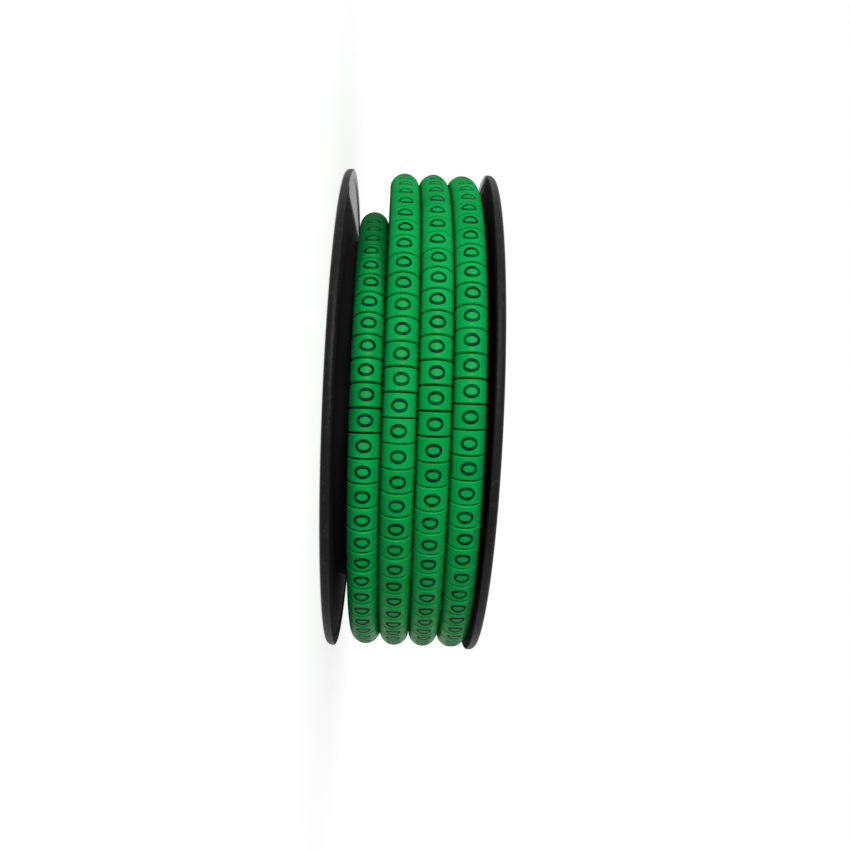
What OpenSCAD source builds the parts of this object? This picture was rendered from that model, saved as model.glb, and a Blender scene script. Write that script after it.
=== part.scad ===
// Reel of cable markers: a strip of part-cut marker tubes, wound in two layers on a moulded two-part reel.
// Sizes are in millimetres. The reel's axis is Z, its lower flange lies on z = 0, and the front faces -Y.

/* [Reel] */
// Diameter of both flanges
flange_d = 104; // [96:1:130]
// Thickness of a flange's plate
flange_t = 1.4; // [1:0.1:2.5]
// Height of the bead round the inside of a flange's rim
bead_h = 0.3; // [0.1:0.05:0.8]
// Width of that bead
bead_w = 1.8; // [1:0.1:4]
// Rounding of the rim's outer edge
rim_round = 1.1; // [0.2:0.05:1.6]
// Rounding of the bead's edge, inside the rim
bead_round = 0.3; // [0.1:0.05:0.6]
// Diameter of the spindle hole
bore_d = 20; // [12:0.5:30]
// Bevel at the mouths of the spindle hole
bore_bevel = 0.6; // [0.2:0.1:0.9]
// Wall of the tube round the spindle hole
spindle_wall = 1.6; // [1:0.1:3]
// Wall of the barrel that carries the strip
barrel_wall = 2.4; // [1.6:0.1:4]
// Length of the lap where the two halves plug together
lap_len = 4; // [2:0.5:8]
// Play in that lap
lap_gap = 0.1; // [0.05:0.05:0.3]
// Number of ribs between barrel and spindle tube, in each half
rib_count = 6; // [3:1:12]
// Thickness of a rib
rib_t = 1.4; // [0.8:0.1:2.5]
// Distance of a rib's edge below the lap
rib_drop = 2; // [0.5:0.5:4]

/* [Marker strip] */
// Outside diameter of the marker tube
tube_d = 6; // [4:0.1:8]
// Wall of the marker tube
tube_wall = 1.2; // [0.9:0.05:1.4]
// Length of one marker, from cut to cut
marker_len = 4; // [3:0.1:6]
// Width of a cut, at the web that joins two markers
cut_w = 0.1; // [0.1:0.02:0.3]
// Thickness of that web, in the wall on the side towards the axis
web_t = 0.6; // [0.4:0.05:0.7]
// Width of that web
web_w = 1.4; // [0.8:0.1:1.6]
// Depth of the web's edges below the tube's surface
web_cover = 0.05; // [0.03:0.01:0.07]
// Number of turns side by side in one layer
lanes = 4; // [3:1:6]
// Share of a lane change that the outer layer makes behind the reel, with the rest spread round the turn
back_share = 0.5; // [0:0.05:1]
// Angle of the strip's outer end, past the front
end_angle = 78; // [76:1:90]
// Gap between two turns of a layer
turn_gap = 0.05; // [0.05:0.05:0.4]
// Play between the inner and the outer layer
layer_gap = 2.4; // [0.3:0.1:3]
// Depth of the outer layer below the flanges' rim
rim_depth = 0.4; // [0.3:0.05:6]
// Gap between the barrel and the inner layer
seat_gap = 0.1; // [0.05:0.05:0.4]
// Gap between the strip and the lower flange, where it comes closest
lower_gap = 1.8; // [0.3:0.05:3]
// Gap between the strip and the upper flange, where it comes closest
upper_gap = 0.55; // [0.1:0.05:3]

/* [Hidden] */
$fn = 48;
full_turn = 360;
half_turn = full_turn / 2;
quarter_turn = full_turn / 4;
front_angle = -quarter_turn;
probe_angle = 0.5;
round_steps = 8;
overcut = 1;
sink = 0.4;

// Strip, with radii to the tube's centre line
tube_r = tube_d / 2;
tube_bore_d = tube_d - 2 * tube_wall;
web_r = sqrt(tube_r * tube_r - web_w * web_w / 4) - web_cover - web_t / 2;
pitch = tube_d + turn_gap;
layer_rise = tube_d + layer_gap;
outer_r = flange_d / 2 - rim_depth - tube_r;
inner_r = outer_r - layer_rise;
inner_web_r = inner_r - web_r;
lane_drift = pitch * advance(quarter_turn / full_turn);
end_drift = pitch * advance(end_angle / full_turn);
first_lane_z = flange_t + lower_gap + tube_r + lane_drift;
last_lane_z = first_lane_z + (lanes - 1) * pitch;
strip_start = -(lanes - 1) * full_turn - quarter_turn;
strip_end = (lanes - 1) * full_turn + end_angle;

// Reel, with each half drawn up from its own flange's outside face
flange_r = flange_d / 2;
rim_t = flange_t + bead_h;
rim_r = min(rim_round, rim_t * 2 / 3);
bead_r = min(bead_round, rim_t / 4);
bore_r = bore_d / 2;
spindle_r = bore_r + spindle_wall;
half_marker_angle = atan(marker_len / 2 / inner_web_r);
barrel_r = inner_web_r * cos(half_marker_angle) + web_r - tube_r - seat_gap;
barrel_inner_r = barrel_r - barrel_wall;
lap_r = barrel_r - barrel_wall / 2;
reel_w = last_lane_z + end_drift + tube_r + upper_gap + flange_t;
half_w = reel_w / 2;
lap_low = half_w - lap_len / 2;
lap_high = half_w + lap_len / 2;

// Points of an arc round [x, y]
function arc(x, y, r, from, to) =
    let (step = (to - from) / round_steps)
    [for (i = [0:round_steps]) [x + r * cos(from + i * step), y + r * sin(from + i * step)]];

// Number of lanes that the outer layer moves across in so many turns, least of it at the front
function advance(turns) = turns - back_share * sin(full_turn * turns) / (2 * PI);

// Smooth step from 0 to 1
function ease(s) = (1 - cos(half_turn * s)) / 2;

// Height of the outer layer's lane, at an angle from the front
function lane_z(lane, a) = first_lane_z + pitch * (lane + advance(a / full_turn));

// Height of the inner layer: level at the front, and down to the next lane or to the climb's start behind
function inner_z(turn, a) =
    let (from = lane_z(-turn, 0), to = turn == -1 ? lane_z(0, -quarter_turn) : lane_z(-turn - 1, 0))
    from + (to - from) * ease(max(0, a - full_turn * turn - quarter_turn) / half_turn);

// The strip's route by its angle a, which is 0 at the front of the lowest lane.
// Down the reel runs the inner layer, up it the outer one, and the strip climbs to that as it passes a = 0.
function path_z(a) =
    a < -quarter_turn ? inner_z(floor((a + quarter_turn) / full_turn), a) : lane_z(0, a);
function path_r(a) =
    a < -quarter_turn ? inner_r
    : a > quarter_turn ? outer_r
    : inner_r + layer_rise * (1 + sin(a)) / 2;

// Middle of the web at an angle of the route, and the route's length per degree there
function web_point(a) =
    let (r = path_r(a) - web_r, turned = a + front_angle)
    [r * cos(turned), r * sin(turned), path_z(a)];
function web_rate(a) = norm(web_point(a + probe_angle) - web_point(a - probe_angle)) / (2 * probe_angle);

// Angle of the cut one marker further on
function next_cut(a) = a + marker_len / web_rate(a + marker_len / web_rate(a) / 2);

// One reel half, flange down. The barrel's wall ends at two heights, with a step between them at step_r.
module reel_half(outer_end, step_r, inner_end) {
    spindle_end = half_w - lap_gap / 2;
    rotate_extrude()
        polygon(concat(
            [[bore_r, bore_bevel], [bore_r + bore_bevel, 0]],
            arc(flange_r - rim_r, rim_r, rim_r, -quarter_turn, 0),
            arc(flange_r - bead_r, rim_t - bead_r, bead_r, 0, quarter_turn),
            [[flange_r - bead_w, rim_t], [flange_r - bead_w - bead_h, flange_t]],
            [[barrel_r, flange_t], [barrel_r, outer_end], [step_r, outer_end], [step_r, inner_end]],
            [[barrel_inner_r, inner_end], [barrel_inner_r, flange_t], [spindle_r, flange_t]],
            [[spindle_r, spindle_end], [bore_r, spindle_end]]
        ));
    for (i = [0:rib_count - 1])
        rotate([0, 0, i * full_turn / rib_count])
            translate([spindle_r - sink, -rib_t / 2, flange_t - sink])
                cube([barrel_inner_r - spindle_r + 2 * sink, rib_t, lap_low - rib_drop - flange_t + sink]);
}

// The half that lies on the ground, whose barrel ends in a tongue
module lower_reel_half() {
    color("#1b1b1d")
        reel_half(lap_low, lap_r - lap_gap / 2, lap_high - lap_gap);
}

// The half on top, whose barrel ends in a skirt round that tongue
module upper_reel_half() {
    color("#1b1b1d")
        translate([0, 0, reel_w])
            mirror([0, 0, 1])
                reel_half(lap_high, lap_r + lap_gap / 2, lap_low);
}

// Sets what lies along Y at a place on the strip, Y along the strip's run and X away from the reel's axis
module along(place, run) {
    heading = atan2(run.y, run.x) - quarter_turn;
    lift = atan2(run.z, norm([run.x, run.y]));
    translate(place)
        rotate([lift, 0, heading])
            children();
}

// A straight piece of tube between two cuts
module marker(from, to) {
    length = norm(to - from) - cut_w;
    along((from + to) / 2, to - from)
        translate([web_r, 0, 0])
            rotate([quarter_turn, 0, 0])
                difference() {
                    cylinder(h = length, d = tube_d, center = true);
                    cylinder(h = length + 2 * overcut, d = tube_bore_d, center = true);
                }
}

// The web that a cut leaves in the wall
module web(place, run) {
    along(place, run)
        cube([web_t, cut_w + 2 * sink, web_w], center = true);
}

// The whole strip, marker by marker
module marker_strip() {
    cuts = [for (a = strip_start; a < strip_end; a = next_cut(a)) web_point(a)];
    last = len(cuts) - 1;
    color("#00a550") {
        for (i = [1:last])
            marker(cuts[i - 1], cuts[i]);
        for (i = [1:last - 1])
            web(cuts[i], cuts[i + 1] - cuts[i - 1]);
    }
}

lower_reel_half();
upper_reel_half();
marker_strip();
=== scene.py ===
"""Looks of a reel of cable markers: a wound strip of printed marker tubes between two black flanges."""

import logging
import math
import random
from dataclasses import dataclass, field
from enum import Enum
from typing import Callable, Sequence

import bpy
from mathutils import Matrix, Vector


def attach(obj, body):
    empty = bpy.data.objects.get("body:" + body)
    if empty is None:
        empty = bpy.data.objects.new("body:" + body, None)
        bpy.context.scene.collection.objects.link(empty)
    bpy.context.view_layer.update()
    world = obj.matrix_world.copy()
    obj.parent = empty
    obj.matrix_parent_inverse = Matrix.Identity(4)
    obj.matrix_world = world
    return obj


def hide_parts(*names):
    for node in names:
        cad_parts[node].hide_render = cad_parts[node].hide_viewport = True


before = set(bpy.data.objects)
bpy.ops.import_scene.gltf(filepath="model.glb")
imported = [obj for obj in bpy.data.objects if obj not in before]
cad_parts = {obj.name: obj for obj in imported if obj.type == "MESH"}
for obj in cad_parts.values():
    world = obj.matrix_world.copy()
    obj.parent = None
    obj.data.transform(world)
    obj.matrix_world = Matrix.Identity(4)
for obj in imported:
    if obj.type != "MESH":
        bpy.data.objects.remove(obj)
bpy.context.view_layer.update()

LOG = logging.getLogger("marker_reel")
BODY = "root"
MM = 0.001
FULL_TURN = 360.0
HALF_TURN = 180.0
QUARTER_TURN = 90.0
REEL_MIDDLE = 15.586 * MM

Colour = tuple[float, float, float]
Triple = tuple[float, float, float]
Range = tuple[float, float]
Link = bpy.types.NodeSocket
Test = Callable[[Vector, Vector], bool]

SHARE: Range = (0.0, 1.0)
WHITE = (1.0, 1.0, 1.0, 1.0)


class Node(Enum):
    """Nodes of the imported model."""

    LOWER_HALF = "lower_reel_half"
    UPPER_HALF = "upper_reel_half"
    STRIP = "marker_strip"


class Attribute(Enum):
    """Names of the values that the strip's points carry."""

    TONE = "tone"
    GRAIN = "grain"


class Reading(Enum):
    """Ways to read such a value."""

    NUMBER = "Fac"
    VECTOR = "Vector"


class Element(Enum):
    """Parts of a mesh that can be picked."""

    EDGE = "EDGE"
    FACE = "FACE"


class Axis(Enum):
    """Axes of the frame that a finish changes along."""

    X = "X"
    Z = "Z"


class Operation(Enum):
    """Ways to combine two values of a finish, of which ABSOLUTE takes the first one only."""

    ADD = "ADD"
    SUBTRACT = "SUBTRACT"
    MULTIPLY = "MULTIPLY"
    MAXIMUM = "MAXIMUM"
    ABSOLUTE = "ABSOLUTE"
    LESS_THAN = "LESS_THAN"
    GREATER_THAN = "GREATER_THAN"


# ---------------------------------------------------------------- hand tools


def deselect_all() -> None:
    """Deselects every object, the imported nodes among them."""
    bpy.ops.object.select_all(action="DESELECT")


def hold(piece: bpy.types.Object) -> None:
    """Makes one object the only one selected, and the active one.

    Args:
        piece: The object that the next operators act on.
    """
    deselect_all()
    piece.select_set(True)
    bpy.context.view_layer.objects.active = piece


def start_picking(piece: bpy.types.Object, element: Element) -> None:
    """Readies a mesh for picking, with nothing picked yet.

    Args:
        piece: The mesh object to edit.
        element: What is to be picked.
    """
    hold(piece)
    bpy.ops.object.mode_set(mode="EDIT")
    bpy.ops.mesh.select_mode(type=element.value)
    bpy.ops.mesh.select_all(action="DESELECT")
    bpy.ops.object.mode_set(mode="OBJECT")


def pick_edges(piece: bpy.types.Object, wanted: Test) -> None:
    """Goes into edit mode with just the wanted edges selected.

    Args:
        piece: The mesh object to edit.
        wanted: Function of an edge's two end points that says whether to take it.
    """
    start_picking(piece, Element.EDGE)
    points = piece.data.vertices
    for edge in piece.data.edges:
        first, second = edge.vertices
        edge.select = wanted(points[first].co, points[second].co)
    bpy.ops.object.mode_set(mode="EDIT")


def pick_faces(piece: bpy.types.Object, wanted: Test) -> None:
    """Goes into edit mode with just the wanted faces selected.

    Args:
        piece: The mesh object to edit.
        wanted: Function of a face's centre and normal that says whether to take it.
    """
    start_picking(piece, Element.FACE)
    for face in piece.data.polygons:
        face.select = wanted(face.center, face.normal)
    bpy.ops.object.mode_set(mode="EDIT")


def copy_at(piece: bpy.types.Object, place: Matrix) -> bpy.types.Object:
    """Copies a modelled piece, mesh and all.

    Args:
        piece: The piece to copy.
        place: Where the copy goes.

    Returns:
        The copy.
    """
    copy = piece.copy()
    copy.data = piece.data.copy()
    copy.matrix_world = place
    bpy.context.collection.objects.link(copy)
    return copy


def join(name: str, pieces: Sequence[bpy.types.Object]) -> bpy.types.Object:
    """Joins pieces into one object at the origin, with its place in its mesh.

    Args:
        name: Name of the joined piece.
        pieces: The pieces, which are used up.

    Returns:
        The joined piece.
    """
    hold(pieces[0])
    for piece in pieces:
        piece.select_set(True)
    bpy.ops.object.join()
    whole = bpy.context.object
    bpy.ops.object.transform_apply(location=True, rotation=True, scale=True)
    whole.name = name
    whole.data.name = name
    return whole


def put_numbers(piece: bpy.types.Object, attribute: Attribute, values: Sequence[float]) -> None:
    """Stores one number at each point of a mesh.

    Args:
        piece: The mesh object.
        attribute: Which value this is.
        values: One number for each point.
    """
    layer = piece.data.attributes.new(attribute.value, "FLOAT", "POINT")
    layer.data.foreach_set("value", list(values))


def put_vectors(piece: bpy.types.Object, attribute: Attribute, values: Sequence[Vector]) -> None:
    """Stores one vector at each point of a mesh.

    Args:
        piece: The mesh object.
        attribute: Which value this is.
        values: One vector for each point.
    """
    layer = piece.data.attributes.new(attribute.value, "FLOAT_VECTOR", "POINT")
    layer.data.foreach_set("vector", [number for vector in values for number in vector])


def dress(piece: bpy.types.Object, material: bpy.types.Material) -> None:
    """Gives a piece one material in place of those that it has."""
    piece.data.materials.clear()
    piece.data.materials.append(material)


# ------------------------------------------------------------------ finishes


class Shading:
    """Node tree of one material, with short ways to add the nodes that the finishes share."""

    def __init__(self, name: str) -> None:
        """Starts a material that has a surface shader and nothing else.

        Args:
            name: Name of the material.
        """
        self.material = bpy.data.materials.new(name)
        self.material.use_nodes = True
        self.nodes = self.material.node_tree.nodes
        self.links = self.material.node_tree.links
        self.shader = self.nodes["Principled BSDF"]

    def link(self, source: Link, target: Link) -> None:
        """Links one socket to another."""
        self.links.new(source, target)

    def place(self) -> Link:
        """Returns the point's place on the object, in metres."""
        return self.nodes.new("ShaderNodeTexCoord").outputs["Object"]

    def stored(self, attribute: Attribute, reading: Reading) -> Link:
        """Reads a value that the mesh carries.

        Args:
            attribute: Which value.
            reading: Whether it is a number or a vector.

        Returns:
            The value.
        """
        node = self.nodes.new("ShaderNodeAttribute")
        node.attribute_name = attribute.value
        return node.outputs[reading.value]

    def noise(self, where: Link, scale: float, detail: float = 2.0) -> Link:
        """Adds a noise pattern.

        Args:
            where: Coordinates that the pattern reads.
            scale: Number of patches per unit of those coordinates.
            detail: Number of finer layers.

        Returns:
            The pattern's value, from 0 to 1.
        """
        node = self.nodes.new("ShaderNodeTexNoise")
        node.inputs["Scale"].default_value = scale
        node.inputs["Detail"].default_value = detail
        self.link(where, node.inputs["Vector"])
        return node.outputs[0]

    def stretched(self, where: Link, scale: Triple) -> Link:
        """Scales coordinates by a different factor along each axis.

        Args:
            where: The coordinates.
            scale: The three factors.

        Returns:
            The scaled coordinates.
        """
        node = self.nodes.new("ShaderNodeMapping")
        node.inputs["Scale"].default_value = scale
        self.link(where, node.inputs["Vector"])
        return node.outputs["Vector"]

    def radius(self, where: Link) -> Link:
        """Works out the distance from the Z axis.

        Args:
            where: Place of the point.

        Returns:
            The distance.
        """
        node = self.nodes.new("ShaderNodeVectorMath")
        node.operation = "LENGTH"
        self.link(self.stretched(where, (1.0, 1.0, 0.0)), node.inputs[0])
        return node.outputs["Value"]

    def part(self, where: Link, axis: Axis) -> Link:
        """Takes the part of some coordinates that lies along one axis.

        Args:
            where: The coordinates.
            axis: The axis.

        Returns:
            The part along it.
        """
        node = self.nodes.new("ShaderNodeSeparateXYZ")
        self.link(where, node.inputs[0])
        return node.outputs[axis.value]

    def span(self, value: Link, source: Range, target: Range = SHARE) -> Link:
        """Maps one range of values to another, and holds what lies outside it at the ends.

        Args:
            value: The value to map.
            source: Start and end of its range.
            target: Results at that start and that end.

        Returns:
            The mapped value.
        """
        node = self.nodes.new("ShaderNodeMapRange")
        for name, number in zip(("From Min", "From Max", "To Min", "To Max"), source + target):
            node.inputs[name].default_value = number
        self.link(value, node.inputs["Value"])
        return node.outputs["Result"]

    def math(self, operation: Operation, first: Link, second: Link | float = 0.0) -> Link:
        """Combines two values.

        Args:
            operation: How to combine them.
            first: The first value.
            second: The second value, which may be a plain number.

        Returns:
            The result.
        """
        node = self.nodes.new("ShaderNodeMath")
        node.operation = operation.value
        self.link(first, node.inputs[0])
        if isinstance(second, float):
            node.inputs[1].default_value = second
        else:
            self.link(second, node.inputs[1])
        return node.outputs["Value"]

    def blend(self, share: Link, first: Link | Colour, second: Link | Colour) -> Link:
        """Blends two colours.

        Args:
            share: Share of the second colour.
            first: The first colour.
            second: The second colour.

        Returns:
            The blended colour.
        """
        node = self.nodes.new("ShaderNodeMix")
        node.data_type = "RGBA"
        # A mix node has a set of sockets for each kind of value, and these are the colour's
        share_in, first_in, second_in = node.inputs[0], node.inputs[6], node.inputs[7]
        self.link(share, share_in)
        for colour, socket in ((first, first_in), (second, second_in)):
            if isinstance(colour, tuple):
                socket.default_value = (*colour, 1.0)
            else:
                self.link(colour, socket)
        return node.outputs[2]

    def bump(self, height: Link, depth: float, strength: float, under: Link | None = None) -> Link:
        """Turns a height pattern into a surface normal.

        Args:
            height: The pattern.
            depth: Its depth in metres.
            strength: How much of it shows.
            under: Normal of a bump that lies under this one.

        Returns:
            The normal.
        """
        node = self.nodes.new("ShaderNodeBump")
        node.inputs["Strength"].default_value = strength
        node.inputs["Distance"].default_value = depth
        self.link(height, node.inputs["Height"])
        if under is not None:
            self.link(under, node.inputs["Normal"])
        return node.outputs["Normal"]

    def set(self, socket: str, value: float) -> None:
        """Sets a value that is the same all over the surface."""
        self.shader.inputs[socket].default_value = value

    def feed(self, socket: str, source: Link) -> None:
        """Links a pattern to one of the surface shader's sockets."""
        self.link(source, self.shader.inputs[socket])


@dataclass(frozen=True)
class MouldedBlack:
    """Black moulded plastic of the reel, glossy on the flanges' faces, with flow marks and a scuffed rim.

    It is dull between the flanges, but for one side that use has polished.
    """

    deep: Colour = (0.004, 0.004, 0.0042)
    pale: Colour = (0.007, 0.007, 0.0072)
    scuffed: Colour = (0.03, 0.03, 0.03)
    specular: float = 0.13

    # Where the plastic changes, by distance from the axis, from the middle height and along X
    rim: Range = (50.8 * MM, 52.0 * MM)
    middle_height: float = REEL_MIDDLE
    inside_half: float = 14.3 * MM
    inside_end: float = 51.8 * MM
    face_half: float = 15.4 * MM
    polish: Range = (-47.0 * MM, -44.5 * MM)
    polish_slant: float = 0.25

    # Patterns: how fine they are, between which of their values they show, and what they do there
    flow_scale: float = 45.0
    flow_detail: float = 3.0
    flow_colour: Range = (0.35, 0.65)
    flow_gloss: Range = (0.3, 0.7)
    flow_rough: Range = (0.45, 0.55)
    speck_scale: float = 900.0
    speck_show: Range = (0.55, 0.75)
    speck_scuff: Range = (0.0, 0.6)
    speck_depth: float = 0.01 * MM
    speck_strength: float = 0.15
    scratch_scale: Triple = (260.0, 2600.0, 700.0)
    scratch_show: Range = (0.55, 0.8)
    scratch_rough: Range = (0.0, 0.1)
    scratch_depth: float = 0.005 * MM
    scratch_strength: float = 0.2

    # Roughness that is added between the flanges, and the share of it that is left where the plastic shines
    inside_rough: Range = (0.0, 0.55)
    shiny_rough: Range = (1.0, 0.25)

    def zones(self, sheet: Shading, place: Link) -> tuple[Link, Link, Link]:
        """Finds the parts of the plastic that differ in gloss.

        Args:
            sheet: The material that takes them.
            place: Place of the point.

        Returns:
            Three values, which are 1 between the flanges, where they are polished there, and on their
            outside faces.
        """
        height = sheet.math(Operation.SUBTRACT, sheet.part(place, Axis.Z), self.middle_height)
        reach = sheet.math(Operation.ABSOLUTE, height)
        level = sheet.math(Operation.LESS_THAN, reach, self.inside_half)
        within = sheet.math(Operation.LESS_THAN, sheet.radius(place), self.inside_end)
        inside = sheet.math(Operation.MULTIPLY, level, within)
        lean = sheet.math(Operation.MULTIPLY, height, self.polish_slant)
        slanted = sheet.math(Operation.ADD, sheet.part(place, Axis.X), lean)
        side = sheet.span(slanted, self.polish, (1.0, 0.0))
        polished = sheet.math(Operation.MULTIPLY, side, inside)
        return inside, polished, sheet.math(Operation.GREATER_THAN, reach, self.face_half)

    def material(self) -> bpy.types.Material:
        """Builds the material.

        Returns:
            The material.
        """
        sheet = Shading("moulded_black")
        place = sheet.place()
        flow = sheet.noise(place, self.flow_scale, self.flow_detail)
        speck = sheet.noise(place, self.speck_scale)
        scratch = sheet.noise(sheet.stretched(place, self.scratch_scale), 1.0)
        body = sheet.blend(sheet.span(flow, self.flow_colour), self.deep, self.pale)
        rim = sheet.span(sheet.radius(place), self.rim)
        scuff = sheet.math(Operation.MULTIPLY, rim, sheet.span(speck, self.speck_show, self.speck_scuff))
        sheet.feed("Base Color", sheet.blend(scuff, body, self.scuffed))
        inside, polished, face = self.zones(sheet, place)
        plain = sheet.span(flow, self.flow_gloss, self.flow_rough)
        dull = sheet.math(Operation.ADD, plain, sheet.span(inside, SHARE, self.inside_rough))
        shiny = sheet.math(Operation.MAXIMUM, polished, face)
        gloss = sheet.math(Operation.MULTIPLY, dull, sheet.span(shiny, SHARE, self.shiny_rough))
        scratched = sheet.span(scratch, self.scratch_show, self.scratch_rough)
        sheet.feed("Roughness", sheet.math(Operation.ADD, gloss, scratched))
        sheet.set("Specular IOR Level", self.specular)
        skin = sheet.bump(speck, self.speck_depth, self.speck_strength)
        sheet.feed("Normal", sheet.bump(scratch, self.scratch_depth, self.scratch_strength, skin))
        return sheet.material


@dataclass(frozen=True)
class SoftVinyl:
    """Green soft vinyl of the marker tubes, drawn lengthwise, each marker a little different in tone.

    Painted shade darkens the creases where the turns touch, the markers that lie deep, and the lower
    flange's side.
    One side of the roll has gone dull.
    """

    green: Colour = (0.0, 0.4, 0.078)
    deep: Colour = (0.0, 0.31, 0.056)
    pale: Colour = (0.003, 0.46, 0.1)
    # Colour of the painted shade in the creases, on the markers that lie deep and by the lower flange
    painted_shade: Colour = (0.0, 0.05, 0.008)
    specular: float = 0.08

    # Where the painted shade and the dullness begin and end, and how much of them there is at those places
    crease: Range = (2.5 * MM, 3.0 * MM)
    crease_shade: Range = (0.0, 0.85)
    sunk: Range = (43.9 * MM, 44.8 * MM)
    sunk_shade: Range = (0.65, 0.0)
    low: Range = (4.6 * MM, 6.8 * MM)
    low_shade: Range = (0.4, 0.0)
    dull: Range = (-40.0 * MM, -20.0 * MM)
    dull_rough: Range = (0.4, 0.0)

    # Patterns: how fine they are, between which of their values they show, and what they do there
    cloud_scale: float = 120.0
    cloud_show: Range = (0.3, 0.7)
    cloud_tone: Range = (-0.35, 0.35)
    drawn_scale: float = 2600.0
    drawn_stretch: Triple = (1.0, 0.08, 1.0)
    drawn_show: Range = (0.35, 0.65)
    drawn_streak: Range = (0.0, 0.15)
    drawn_depth: float = 0.03 * MM
    drawn_strength: float = 0.35
    pore_scale: float = 4200.0
    pore_show: Range = (0.3, 0.7)
    pore_rough: Range = (0.36, 0.45)
    pore_depth: float = 0.02 * MM
    pore_strength: float = 0.25

    def body(self, sheet: Shading) -> Link:
        """Adds the vinyl's own colour.

        Args:
            sheet: The material that takes it.

        Returns:
            The colour.
        """
        cloud = sheet.span(sheet.noise(sheet.place(), self.cloud_scale), self.cloud_show, self.cloud_tone)
        tone = sheet.math(Operation.ADD, sheet.stored(Attribute.TONE, Reading.NUMBER), cloud)
        darker = sheet.blend(sheet.span(tone, (-1.0, 0.0), (1.0, 0.0)), self.green, self.deep)
        return sheet.blend(sheet.span(tone, SHARE), darker, self.pale)

    def painted_shade_share(self, sheet: Shading, place: Link, grain: Link) -> Link:
        """Works out how much painted shade there is.

        Args:
            sheet: The material that takes it.
            place: Place of the point on the roll.
            grain: Its place on its own marker.

        Returns:
            The painted shade's share of the colour.
        """
        across = sheet.math(Operation.ABSOLUTE, sheet.part(grain, Axis.Z))
        # Painted shade in the creases where neighbouring turns touch, darkest at the tube's sides
        crease = sheet.span(across, self.crease, self.crease_shade)
        # Painted shade on markers that lie deep in the winding, where the neighbouring turns and the flange
        # shade them
        sunk = sheet.span(sheet.radius(place), self.sunk, self.sunk_shade)
        # Painted shade along the lower flange's side, darker the nearer the tube lies to it
        low = sheet.span(sheet.part(place, Axis.Z), self.low, self.low_shade)
        return sheet.math(Operation.MAXIMUM, crease, sheet.math(Operation.MAXIMUM, sunk, low))

    def material(self) -> bpy.types.Material:
        """Builds the material.

        Returns:
            The material.
        """
        sheet = Shading("soft_vinyl")
        place = sheet.place()
        grain = sheet.stored(Attribute.GRAIN, Reading.VECTOR)
        drawn = sheet.noise(sheet.stretched(grain, self.drawn_stretch), self.drawn_scale)
        pore = sheet.noise(grain, self.pore_scale)
        streak = sheet.span(drawn, self.drawn_show, self.drawn_streak)
        drawn_green = sheet.blend(streak, self.body(sheet), self.deep)
        # The vinyl's colour is blended towards a painted shade in the creases, on deep markers and by the
        # lower flange
        sheet.feed("Base Color", sheet.blend(self.painted_shade_share(sheet, place, grain), drawn_green, self.painted_shade))
        plain = sheet.span(pore, self.pore_show, self.pore_rough)
        dull = sheet.span(sheet.part(place, Axis.X), self.dull, self.dull_rough)
        sheet.feed("Roughness", sheet.math(Operation.ADD, plain, dull))
        sheet.set("Specular IOR Level", self.specular)
        skin = sheet.bump(pore, self.pore_depth, self.pore_strength)
        sheet.feed("Normal", sheet.bump(drawn, self.drawn_depth, self.drawn_strength, skin))
        return sheet.material


@dataclass(frozen=True)
class StampedInk:
    """Dark ink stamped on the vinyl, thin in patches where the green shows through."""

    ink: Colour = (0.0006, 0.021, 0.008)
    specular: float = 0.04
    vinyl: SoftVinyl = SoftVinyl()

    # Patterns: how fine they are, between which of their values they show, and what they do there
    patch_scale: float = 520.0
    patch_show: Range = (0.45, 0.75)
    patch_thin: Range = (0.0, 0.3)
    fleck_scale: float = 2600.0
    fleck_show: Range = (0.5, 0.75)
    fleck_thin: Range = (0.0, 0.2)
    fleck_gloss: Range = (0.3, 0.7)
    fleck_rough: Range = (0.42, 0.6)
    fleck_depth: float = 0.01 * MM
    fleck_strength: float = 0.3

    def material(self) -> bpy.types.Material:
        """Builds the material.

        Returns:
            The material.
        """
        sheet = Shading("stamped_ink")
        place = sheet.place()
        fleck = sheet.noise(place, self.fleck_scale)
        patches = sheet.span(sheet.noise(place, self.patch_scale), self.patch_show, self.patch_thin)
        flecks = sheet.span(fleck, self.fleck_show, self.fleck_thin)
        thin = sheet.math(Operation.ADD, patches, flecks)
        sheet.feed("Base Color", sheet.blend(thin, self.ink, self.vinyl.body(sheet)))
        sheet.feed("Roughness", sheet.span(fleck, self.fleck_gloss, self.fleck_rough))
        sheet.set("Specular IOR Level", self.specular)
        sheet.feed("Normal", sheet.bump(fleck, self.fleck_depth, self.fleck_strength))
        return sheet.material


# --------------------------------------------------------------------- strip


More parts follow.
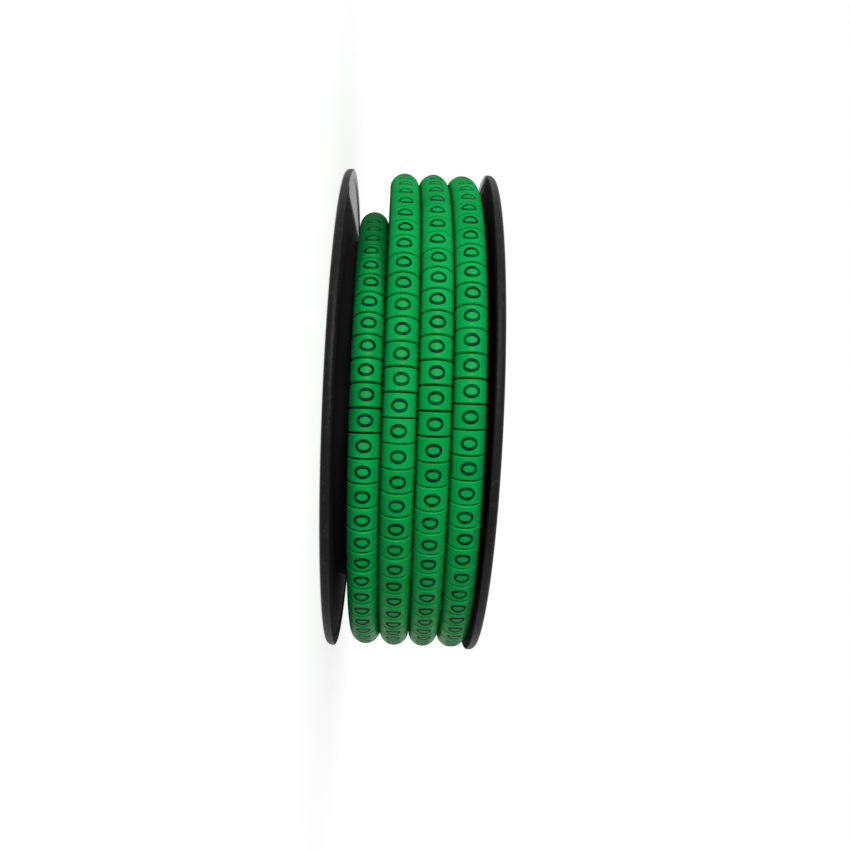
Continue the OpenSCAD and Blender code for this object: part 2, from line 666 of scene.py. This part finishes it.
@dataclass
class Route:
    """Way of the strip round the reel, by its angle in degrees from the front of the lowest lane.

    Down the reel runs the inner layer, up it the outer one, and the strip climbs from one to the other in
    between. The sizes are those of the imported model.
    """

    flange_radius: float = 52.0 * MM
    flange_thickness: float = 1.4 * MM
    tube_radius: float = 3.0 * MM
    marker_length: float = 4.0 * MM
    web_thickness: float = 0.6 * MM
    web_width: float = 1.4 * MM
    web_cover: float = 0.05 * MM
    lanes: int = 4
    back_share: float = 0.5
    end_angle: float = 78.0
    turn_gap: float = 0.05 * MM
    layer_gap: float = 2.4 * MM
    rim_depth: float = 0.4 * MM
    lower_gap: float = 1.8 * MM
    probe: float = 0.5

    def __post_init__(self) -> None:
        """Works out the lanes and layers."""
        chord = math.sqrt(self.tube_radius**2 - (self.web_width / 2) ** 2)
        self.web_radius = chord - self.web_cover - self.web_thickness / 2
        self.pitch = 2 * self.tube_radius + self.turn_gap
        self.layer_rise = 2 * self.tube_radius + self.layer_gap
        self.outer_radius = self.flange_radius - self.rim_depth - self.tube_radius
        self.inner_radius = self.outer_radius - self.layer_rise
        drift = self.pitch * self.advance(QUARTER_TURN / FULL_TURN)
        self.first_lane = self.flange_thickness + self.lower_gap + self.tube_radius + drift
        self.end = (self.lanes - 1) * FULL_TURN + self.end_angle
        self.start = -(self.lanes - 1) * FULL_TURN - QUARTER_TURN

    def advance(self, turns: float) -> float:
        """Returns how many lanes the outer layer moves across in so many turns, least of it at the front."""
        return turns - self.back_share * math.sin(2 * math.pi * turns) / (2 * math.pi)

    @staticmethod
    def ease(share: float) -> float:
        """Returns a smooth step from 0 to 1."""
        return (1 - math.cos(math.pi * share)) / 2

    def lane_height(self, lane: float, angle: float) -> float:
        """Returns the height of a lane of the outer layer at an angle from the front."""
        return self.first_lane + self.pitch * (lane + self.advance(angle / FULL_TURN))

    def inner_height(self, turn: int, angle: float) -> float:
        """Works out the height of the inner layer, which is level at the front and changes its lane behind.

        Args:
            turn: Number of the turn, below 0.
            angle: Angle of the route.

        Returns:
            The height of the tube's middle.
        """
        begin = self.lane_height(-turn, 0)
        finish = self.lane_height(0, -QUARTER_TURN) if turn == -1 else self.lane_height(-turn - 1, 0)
        bend = max(0.0, angle - FULL_TURN * turn - QUARTER_TURN)
        return begin + (finish - begin) * self.ease(bend / HALF_TURN)

    def height(self, angle: float) -> float:
        """Works out the height of either layer.

        Args:
            angle: Angle of the route.

        Returns:
            The height of the tube's middle.
        """
        if angle < -QUARTER_TURN:
            return self.inner_height(math.floor((angle + QUARTER_TURN) / FULL_TURN), angle)
        return self.lane_height(0, angle)

    def radius(self, angle: float) -> float:
        """Works out how far the strip lies from the reel's axis.

        Args:
            angle: Angle of the route.

        Returns:
            The distance of the tube's middle.
        """
        if angle < -QUARTER_TURN:
            return self.inner_radius
        if angle > QUARTER_TURN:
            return self.outer_radius
        return self.inner_radius + self.layer_rise * (1 + math.sin(math.radians(angle))) / 2

    def web_point(self, angle: float) -> Vector:
        """Finds the web that a cut leaves.

        Args:
            angle: Angle of the cut.

        Returns:
            The middle of the web.
        """
        radius = self.radius(angle) - self.web_radius
        turned = math.radians(angle - QUARTER_TURN)
        return Vector((radius * math.cos(turned), radius * math.sin(turned), self.height(angle)))

    def web_rate(self, angle: float) -> float:
        """Returns the route's length per degree."""
        run = self.web_point(angle + self.probe) - self.web_point(angle - self.probe)
        return run.length / (2 * self.probe)

    def cuts(self) -> list[Vector]:
        """Lists the cuts between the markers, from the strip's inner end to its outer one.

        Returns:
            The middle of each cut's web.
        """
        points = []
        angle = self.start
        while angle < self.end:
            points.append(self.web_point(angle))
            half_step = self.marker_length / self.web_rate(angle) / 2
            angle += self.marker_length / self.web_rate(angle + half_step)
        return points

    @staticmethod
    def along(place: Vector, run: Vector) -> Matrix:
        """Sets what lies along Y at a place on the strip.

        Args:
            place: Middle of what is set there.
            run: The strip's direction there, which Y takes. X then points away from the reel's axis.

        Returns:
            The placing.
        """
        heading = math.atan2(run.y, run.x) - math.radians(QUARTER_TURN)
        lift = math.atan2(run.z, math.hypot(run.x, run.y))
        return Matrix.Translation(place) @ Matrix.Rotation(heading, 4, "Z") @ Matrix.Rotation(lift, 4, "X")


@dataclass
class MarkerStrip:
    """The wound strip: hollow marker tubes, part-cut from each other, with a figure stamped on each.

    The tubes are spread a little along the reel's axis, so that neighbouring turns touch.
    """

    route: Route = field(default_factory=Route)

    # Markers and webs
    sides: int = 20
    wall: float = 1.2 * MM
    cut_width: float = 0.1 * MM
    spread: float = 1.012
    edge_bevel: float = 0.17 * MM
    outside_share: float = 0.99
    smooth_angle: float = 35.0
    web_sink: float = 0.4 * MM

    # Stamped figures
    figure_height: float = 3.1 * MM
    figure_width: float = 2.5 * MM
    figure_points: int = 28
    side_stroke: float = 0.62 * MM
    end_stroke: float = 0.5 * MM
    ink_lift: float = 0.015 * MM

    # Small differences between markers
    seed: int = 4
    least_splay: float = 0.012
    most_splay: float = 0.036
    roll_play: float = 2.5
    tone_play: float = 0.3
    print_play: float = 0.07 * MM

    def __post_init__(self) -> None:
        """Starts the strip's own series of small differences, and works out a marker's length."""
        self.chance = random.Random(self.seed)
        self.length = self.route.marker_length - self.cut_width

    def model_marker(self, hollow: bool) -> bpy.types.Object:
        """Models one marker along Y, with bevelled ends.

        Args:
            hollow: Whether the bore shows, as it does at the strip's ends.

        Returns:
            The marker.
        """
        deselect_all()
        bpy.ops.mesh.primitive_cylinder_add(
            vertices=self.sides,
            radius=self.route.tube_radius,
            depth=self.length,
            rotation=(math.radians(QUARTER_TURN), 0, 0),
        )
        marker = bpy.context.object
        bpy.ops.object.transform_apply(location=False, rotation=True, scale=False)
        marker.scale.z = self.spread
        bpy.ops.object.transform_apply(location=False, rotation=False, scale=True)
        near_end = self.length / 2 - self.edge_bevel
        outside = self.route.tube_radius * self.outside_share
        if hollow:
            pick_faces(marker, lambda centre, normal: abs(centre.y) > near_end)
            bpy.ops.mesh.inset(thickness=self.wall, use_individual=True)
            bpy.ops.mesh.bridge_edge_loops()
            bpy.ops.object.mode_set(mode="OBJECT")
        pick_edges(
            marker,
            lambda first, second: min(abs(first.y), abs(second.y)) > near_end
            and min(math.hypot(first.x, first.z), math.hypot(second.x, second.z)) > outside,
        )
        bpy.ops.mesh.bevel(offset=self.edge_bevel, offset_type="OFFSET", segments=1, affect="EDGES")
        bpy.ops.object.mode_set(mode="OBJECT")
        bpy.ops.object.shade_smooth_by_angle(angle=math.radians(self.smooth_angle))
        return marker

    def model_web(self) -> bpy.types.Object:
        """Models the web that joins two markers, sunk in both walls.

        Returns:
            The web.
        """
        deselect_all()
        bpy.ops.mesh.primitive_cube_add(size=1.0)
        web = bpy.context.object
        web.scale = (self.route.web_thickness, self.cut_width + 2 * self.web_sink, self.route.web_width)
        bpy.ops.object.transform_apply(location=False, rotation=False, scale=True)
        reach = self.route.web_width / 2 - self.edge_bevel
        pick_edges(
            web,
            lambda first, second: abs(first.z) > reach and abs(first.y - second.y) > self.cut_width,
        )
        bpy.ops.mesh.bevel(offset=self.edge_bevel, segments=1, affect="EDGES")
        bpy.ops.object.mode_set(mode="OBJECT")
        return web

    def model_figure(self) -> bpy.types.Object:
        """Models the stamped figure, a plain nought that lies across the tube and follows its curve.

        Returns:
            The figure.
        """
        deselect_all()
        # The circle is 1 m across, so that the figure's height and width are what it is scaled by
        bpy.ops.mesh.primitive_circle_add(vertices=self.figure_points, radius=0.5, fill_type="NOTHING")
        figure = bpy.context.object
        bpy.ops.object.mode_set(mode="EDIT")
        bpy.ops.mesh.select_all(action="SELECT")
        bpy.ops.transform.resize(value=(self.figure_height, self.figure_width, 1.0))
        bpy.ops.mesh.extrude_region_move()
        inner_height = 1 - 2 * self.end_stroke / self.figure_height
        inner_width = 1 - 2 * self.side_stroke / self.figure_width
        bpy.ops.transform.resize(value=(inner_height, inner_width, 1.0))
        bpy.ops.object.mode_set(mode="OBJECT")
        reach = self.route.tube_radius + self.ink_lift
        for point in figure.data.vertices:
            turn = point.co.x / reach
            point.co = (reach * math.cos(turn), point.co.y, -reach * math.sin(turn))
        pick_faces(figure, lambda centre, normal: True)
        bpy.ops.mesh.normals_make_consistent(inside=False)
        bpy.ops.object.mode_set(mode="OBJECT")
        if figure.data.polygons[0].normal.x < 0:
            figure.data.flip_normals()
        bpy.ops.object.shade_smooth()
        return figure

    def splay(self, marker: bpy.types.Object, slope: float) -> None:
        """Leans a marker's ends outwards, so that the cuts beside it open less on the strip's outside.

        Args:
            marker: The marker, before it is joined to the rest.
            slope: How far an end leans, per unit of distance from the web.
        """
        for point in marker.data.vertices:
            point.co.y += math.copysign((point.co.x + self.route.web_radius) * slope, point.co.y)

    def mark(self, piece: bpy.types.Object, tone: float, shift: float) -> None:
        """Stores a marker's tone and the place of each point on the drawn tube.

        Args:
            piece: The marker, web or figure, before it is joined to the rest.
            tone: How pale the marker is, from -1 to 1.
            shift: Distance of the marker along the strip.
        """
        points = piece.data.vertices
        put_numbers(piece, Attribute.TONE, [tone] * len(points))
        put_vectors(piece, Attribute.GRAIN, [point.co + Vector((0, shift, 0)) for point in points])

    def build(self) -> tuple[bpy.types.Object, bpy.types.Object]:
        """Models the strip and its print, and copies them along the route.

        Returns:
            The strip and the print.
        """
        cuts = self.route.cuts()
        plain = self.model_marker(hollow=False)
        ended = self.model_marker(hollow=True)
        web = self.model_web()
        figure = self.model_figure()
        above_web = Matrix.Translation((self.route.web_radius, 0, 0))
        strip, prints = [], []
        last = len(cuts) - 1
        for number in range(1, last + 1):
            begin, finish = cuts[number - 1], cuts[number]
            run = finish - begin
            shift = number * self.route.marker_length
            tone = self.chance.uniform(-1, 1) * self.tone_play
            roll = Matrix.Rotation(math.radians(self.chance.uniform(-1, 1) * self.roll_play), 4, "Y")
            fit = Matrix.Diagonal((1, (run.length - self.cut_width) / self.length, 1, 1))
            middle = self.route.along((begin + finish) / 2, run) @ above_web
            marker = copy_at(ended if number in (1, last) else plain, middle @ roll @ fit)
            self.splay(marker, self.chance.uniform(self.least_splay, self.most_splay))
            self.mark(marker, tone, shift)
            strip.append(marker)
            nudge = Matrix.Translation((0, self.chance.uniform(-1, 1) * self.print_play, 0))
            stamp = copy_at(figure, middle @ roll @ nudge)
            self.mark(stamp, tone, shift)
            prints.append(stamp)
            if number < last:
                joint = copy_at(web, self.route.along(finish, cuts[number + 1] - begin))
                self.mark(joint, tone, shift)
                strip.append(joint)
        for model in (plain, ended, web, figure):
            bpy.data.objects.remove(model, do_unlink=True)
        return join("wound_strip", strip), join("stamped_figures", prints)

    def make(self) -> None:
        """Builds the strip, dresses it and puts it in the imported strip's place."""
        strip, prints = self.build()
        vinyl = SoftVinyl()
        dress(strip, vinyl.material())
        dress(prints, StampedInk(vinyl=vinyl).material())
        for piece in (strip, prints):
            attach(piece, BODY)
            LOG.info("%s: %d faces", piece.name, len(piece.data.polygons))
        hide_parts(Node.STRIP.value)


# ---------------------------------------------------------------------- reel


@dataclass
class Reel:
    """The two moulded halves of the reel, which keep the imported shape."""

    halves: tuple[Node, Node] = (Node.LOWER_HALF, Node.UPPER_HALF)

    def make(self) -> None:
        """Dresses both halves."""
        black = MouldedBlack().material()
        for half in self.halves:
            dress(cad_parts[half.value], black)
            LOG.info("%s: dressed", half.value)


# -------------------------------------------------------------------- studio


@dataclass(frozen=True)
class Lamp:
    """A soft lamp: its name, its place in metres, its face's width and height, and its power in watts."""

    name: str
    place: Triple
    size: tuple[float, float]
    watts: float


@dataclass
class Studio:
    """Pale floor, white surroundings, soft lamps and the camera."""

    # Camera, with its places measured from the reel's middle height
    middle_height: float = REEL_MIDDLE
    camera_place: Triple = (0.0, -207.87 * MM, -2.64 * MM)
    camera_target: Triple = (3.14 * MM, 0.0, 3.65 * MM)
    camera_roll: float = -2.347
    lens: float = 38.953
    sensor: float = 36.0
    clip_start: float = 0.01

    # Floor, which glows less near the reel than far from it
    floor_size: float = 4.0
    floor_drop: float = 0.05 * MM
    floor_grey: Colour = (0.58, 0.58, 0.58)
    floor_pale: Colour = (0.62, 0.62, 0.62)
    floor_patches: float = 6.0
    floor_rough: float = 0.9
    glow_reach: Range = (0.06, 0.3)
    glow: Range = (0.77, 1.0)

    # Light
    ambient: float = 0.24
    key: Lamp = Lamp("key", (-0.3, -0.56, 0.05), (0.45, 0.16), 3.6)
    fill: Lamp = Lamp("fill", (-0.1, -0.5, 0.3), (0.5, 0.5), 0.15)

    def make_camera(self) -> None:
        """Makes the camera, with the reel's axis level in the picture."""
        lift = Vector((0, 0, self.middle_height))
        place = Vector(self.camera_place) + lift
        ahead = (Vector(self.camera_target) + lift - place).normalized()
        right = Vector((0, 0, 1))
        right = (right - ahead * right.dot(ahead)).normalized()
        down = ahead.cross(right)
        turn = math.radians(self.camera_roll)
        across = math.cos(turn) * right + math.sin(turn) * down
        below = math.cos(turn) * down - math.sin(turn) * right
        camera = bpy.data.objects.new("camera", bpy.data.cameras.new("camera"))
        camera.data.lens = self.lens
        camera.data.sensor_width = self.sensor
        camera.data.clip_start = self.clip_start
        camera.matrix_world = Matrix((across, -below, -ahead)).transposed().to_4x4()
        camera.location = place
        bpy.context.collection.objects.link(camera)
        bpy.context.scene.camera = camera

    @staticmethod
    def seen(nodes: bpy.types.Nodes, links: bpy.types.NodeLinks) -> Link:
        """Adds the test of whether a surface is seen, in a mirror or through glass as well.

        Args:
            nodes: Nodes of the tree that takes it.
            links: Links of that tree.

        Returns:
            A value that is 1 where it is seen, and 0 for the light that it casts.
        """
        path = nodes.new("ShaderNodeLightPath")
        value = path.outputs["Is Camera Ray"]
        for name in ("Is Glossy Ray", "Is Transmission Ray"):
            node = nodes.new("ShaderNodeMath")
            node.operation = Operation.MAXIMUM.value
            links.new(value, node.inputs[0])
            links.new(path.outputs[name], node.inputs[1])
            value = node.outputs["Value"]
        return value

    def make_world(self) -> None:
        """Makes surroundings that look white and light the reel evenly."""
        world = bpy.data.worlds.new("studio")
        bpy.context.scene.world = world
        world.use_nodes = True
        nodes, links = world.node_tree.nodes, world.node_tree.links
        light = nodes["Background"]
        white = nodes.new("ShaderNodeBackground")
        for background, strength in ((light, self.ambient), (white, 1.0)):
            background.inputs["Color"].default_value = WHITE
            background.inputs["Strength"].default_value = strength
        mix = nodes.new("ShaderNodeMixShader")
        for number, source in enumerate((self.seen(nodes, links), light.outputs[0], white.outputs[0])):
            links.new(source, mix.inputs[number])
        links.new(mix.outputs[0], nodes["World Output"].inputs["Surface"])

    def make_floor(self) -> None:
        """Makes the floor, which looks white but keeps the reel's shadow."""
        deselect_all()
        bpy.ops.mesh.primitive_plane_add(size=self.floor_size, location=(0, 0, -self.floor_drop))
        floor = bpy.context.object
        floor.name = "floor"
        sheet = Shading("pale_floor")
        place = sheet.place()
        patch = sheet.noise(place, self.floor_patches)
        sheet.feed("Base Color", sheet.blend(patch, self.floor_grey, self.floor_pale))
        sheet.set("Roughness", self.floor_rough)
        sheet.set("Specular IOR Level", 0.0)
        glow = sheet.nodes.new("ShaderNodeEmission")
        away = sheet.span(sheet.radius(place), self.glow_reach, self.glow)
        lit = sheet.math(Operation.MULTIPLY, self.seen(sheet.nodes, sheet.links), away)
        sheet.link(lit, glow.inputs["Strength"])
        add = sheet.nodes.new("ShaderNodeAddShader")
        sheet.link(sheet.shader.outputs[0], add.inputs[0])
        sheet.link(glow.outputs[0], add.inputs[1])
        sheet.link(add.outputs[0], sheet.nodes["Material Output"].inputs["Surface"])
        dress(floor, sheet.material)

    def make_lamp(self, lamp: Lamp) -> None:
        """Makes one soft lamp that faces the reel.

        Args:
            lamp: What the lamp is like.
        """
        light = bpy.data.objects.new(lamp.name, bpy.data.lights.new(lamp.name, "AREA"))
        light.data.shape = "RECTANGLE"
        light.data.size, light.data.size_y = lamp.size
        light.data.energy = lamp.watts
        light.location = lamp.place
        aim = Vector((0, 0, self.middle_height)) - light.location
        light.rotation_euler = aim.to_track_quat("-Z", "Y").to_euler()
        bpy.context.collection.objects.link(light)

    def make(self) -> None:
        """Makes the whole studio."""
        bpy.context.scene.view_settings.view_transform = "Standard"
        self.make_camera()
        self.make_world()
        self.make_floor()
        self.make_lamp(self.key)
        self.make_lamp(self.fill)
        LOG.info("studio: camera, floor, surroundings and lamps")


def main() -> None:
    """Builds the studio, the reel and the strip in turn."""
    logging.basicConfig(level=logging.INFO, format="%(message)s")
    Studio().make()
    Reel().make()
    MarkerStrip().make()


if __name__ == "__main__":
    main()
